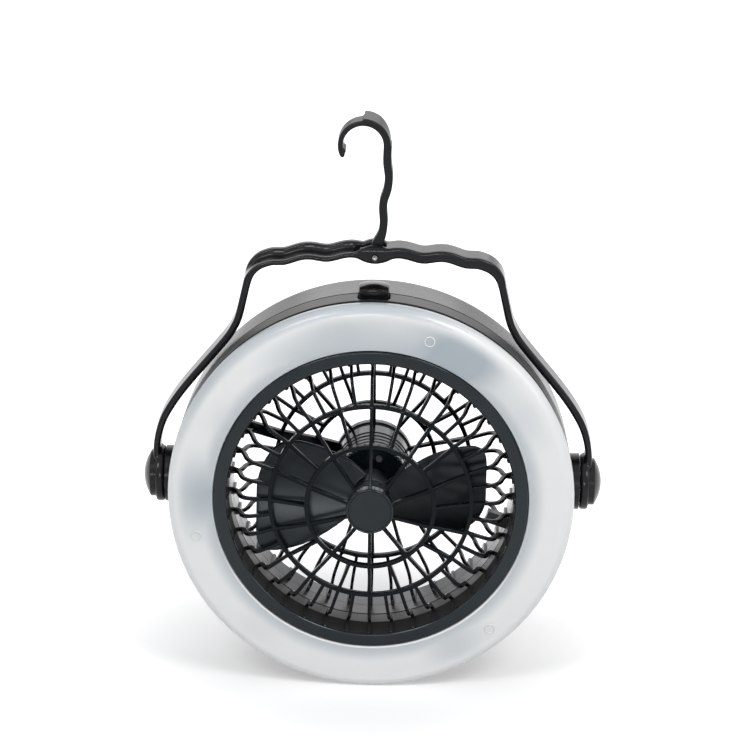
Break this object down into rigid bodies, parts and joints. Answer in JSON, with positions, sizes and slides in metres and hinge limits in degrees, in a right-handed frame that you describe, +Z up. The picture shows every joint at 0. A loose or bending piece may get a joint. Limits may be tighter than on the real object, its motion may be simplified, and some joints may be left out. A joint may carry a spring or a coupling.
{
  "type": "portable camping fan",
  "caption": "Round battery fan with a frosted ring light around a guarded rotor, a swinging bail handle and a folding hanging hook.",
  "frame": {"origin": "bottom centre of the whole part's box, where the lens's round rim meets the ground, on the middle plane of the head", "axes": "+Z up, towards the hook; +Y along the fan's axis from the lens to the back; +X to the right seen from the front"},
  "size_m": [0.2, 0.069, 0.2492],
  "materials": {
    "lens_frost": "frosted",
    "board_white": "satin",
    "led_yellow": "gloss",
    "grille_black": "semi-gloss",
    "badge_black": "satin",
    "shell_grey": "satin",
    "steel_bright": "bright",
    "magnet_dark": "matte",
    "nylon_cream": "satin",
    "bush_brass": "satin",
    "lead_red": "semi-gloss",
    "copper_winding": "satin",
    "blade_black": "gloss",
    "cell_wrap": "gloss",
    "contact_nickel": "bright",
    "button_gloss": "gloss",
    "switch_black": "satin",
    "bail_black": "satin"
  },
  "bodies": {
    "head": {"light_lens": "lens_frost", "led_board": "board_white", "leds": "led_yellow", "front_grille": "grille_black", "hub_badge": "badge_black", "front_housing": "shell_grey", "rear_housing": "shell_grey", "rear_grille": "grille_black", "motor_retainer": "grille_black", "motor_screws": "steel_bright", "motor_can": "steel_bright", "motor_magnets": "magnet_dark", "motor_end_bell": "nylon_cream", "motor_bushes": "bush_brass", "motor_leads": "lead_red", "cell_1": "cell_wrap", "cell_2": "cell_wrap", "cell_3": "cell_wrap", "cell_4": "cell_wrap", "contact_springs": "contact_nickel", "contact_plates": "contact_nickel", "button_spring": "contact_nickel", "push_switch": "switch_black", "housing_screws": "steel_bright", "pivot_boss_left": "bail_black", "pivot_boss_right": "bail_black", "pivot_screw_left": "steel_bright", "pivot_screw_right": "steel_bright"},
    "rotor": {"motor_shaft": "steel_bright", "motor_armature": "copper_winding", "fan_blades": "blade_black", "blade_cap": "blade_black"},
    "button": {"power_button": "button_gloss"},
    "door_left": {"battery_door_left": "shell_grey"},
    "door_right": {"battery_door_right": "shell_grey"},
    "bail": {"bail_handle": "bail_black", "pivot_cap_left": "bail_black", "pivot_cap_right": "bail_black", "hook_pin": "steel_bright"},
    "hook": {"hook": "bail_black"}
  },
  "joints": [
    {"name": "fan_spin", "type": "hinge", "parent": "head", "child": "rotor", "pos_m": [0, 0, 0.0875], "axis": [0, 1, 0], "continuous": true},
    {"name": "button_press", "type": "slide", "parent": "head", "child": "button", "axis": [0, 0, -1], "range_m": [0, 0.0018], "stiffness_N_per_m": 400, "deforming": ["button_spring"]},
    {"name": "door_left_open", "type": "hinge", "parent": "head", "child": "door_left", "pos_m": [-0.07494, 0.0209, 0.08462], "axis": [0.9993, 0, 0.0384], "range_deg": [0, 90]},
    {"name": "door_right_open", "type": "hinge", "parent": "head", "child": "door_right", "pos_m": [0.07494, 0.0209, 0.08462], "axis": [0.9993, 0, -0.0384], "range_deg": [0, 90]},
    {"name": "bail_swing", "type": "hinge", "parent": "head", "child": "bail", "pos_m": [0, 0.0075, 0.0875], "axis": [1, 0, 0], "range_deg": [-180, 0]},
    {"name": "hook_fold", "type": "hinge", "parent": "bail", "child": "hook", "pos_m": [0, 0.0075, 0.1895], "axis": [0, -1, 0], "range_deg": [0, 64]}
  ]
}
